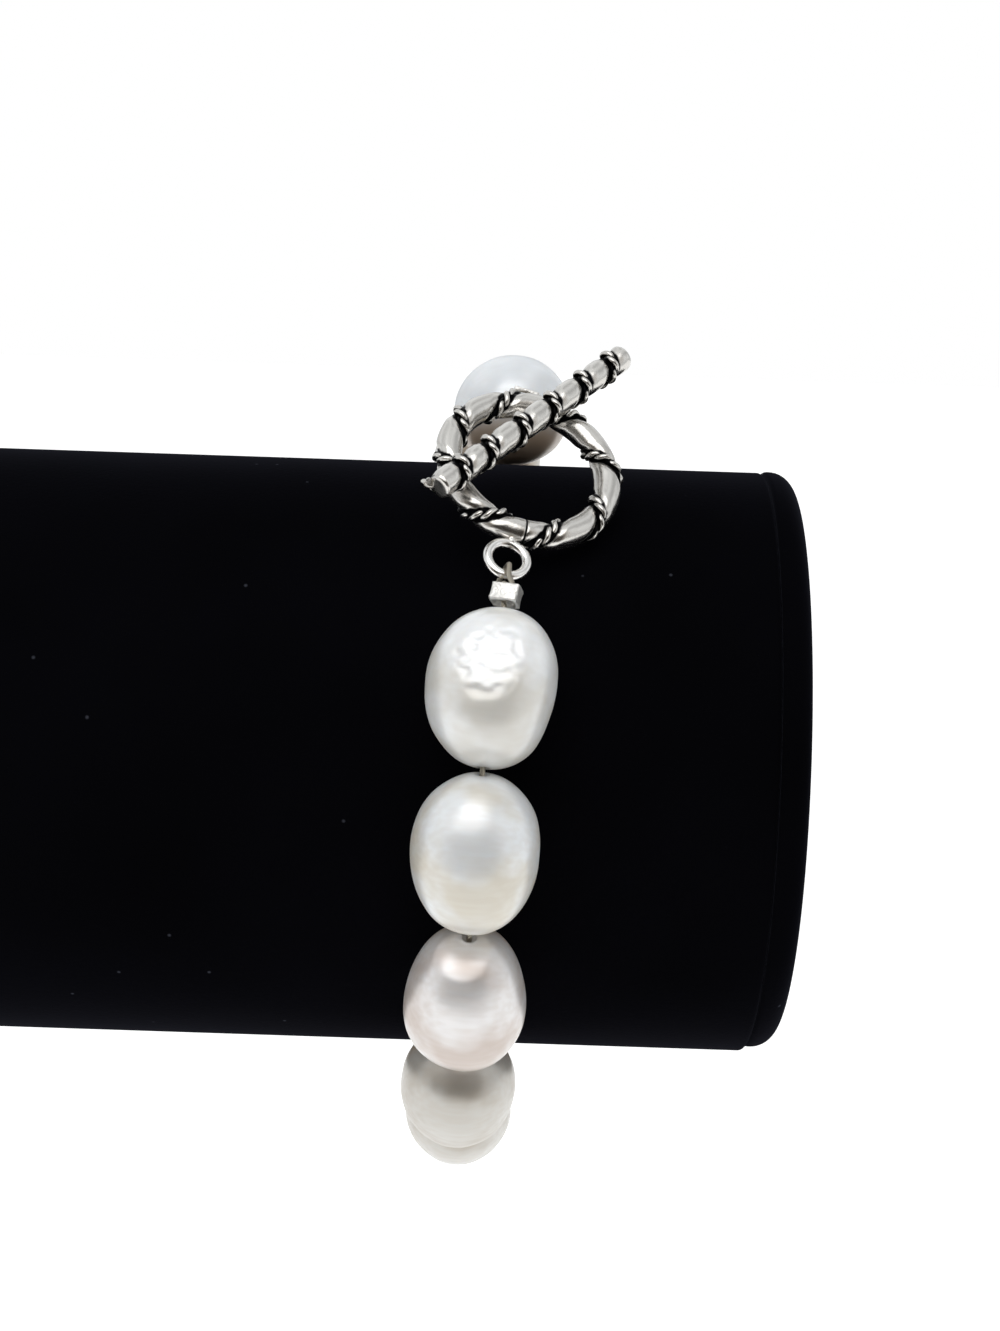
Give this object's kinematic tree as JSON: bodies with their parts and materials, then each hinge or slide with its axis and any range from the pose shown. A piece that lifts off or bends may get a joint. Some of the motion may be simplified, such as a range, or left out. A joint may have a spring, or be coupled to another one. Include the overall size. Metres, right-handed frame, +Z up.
{
  "type": "pearl bracelet on a display roll",
  "caption": "Strand of large baroque pearls closed by a rope-wrapped silver toggle clasp, worn round a black velvet display roll.",
  "frame": {"origin": "centre of the roll's left end face, where a stand's arm holds it", "axes": "+X along the roll towards its free end, +Z up, and the bracelet's front faces -Y"},
  "size_m": [0.11, 0.0729, 0.0734],
  "materials": {
    "velvet": "short black pile, matt, lighter where it is seen at a slant",
    "nacre": "natural pearl lustre, softly polished",
    "oxidised_silver": "oxidised silver, polished on the high parts and black in the recesses",
    "matt_silver": "fine-grained matt silver",
    "beading_wire": "twisted steel strands under a thin clear coat"
  },
  "bodies": {
    "root": {"roll_body": "velvet", "roll_cap_left": "velvet", "roll_cap_right": "velvet", "pearl_01": "nacre", "pearl_02": "nacre", "pearl_03": "nacre", "pearl_04": "nacre", "pearl_05": "nacre", "pearl_06": "nacre", "pearl_07": "nacre", "pearl_08": "nacre", "pearl_09": "nacre", "pearl_10": "nacre", "pearl_11": "nacre", "pearl_12": "nacre", "pearl_13": "nacre", "toggle_ring": "oxidised_silver", "toggle_bar": "oxidised_silver", "crimp_front": "matt_silver", "crimp_back": "matt_silver", "stringing_wire": "beading_wire"}
  },
  "joints": []
}
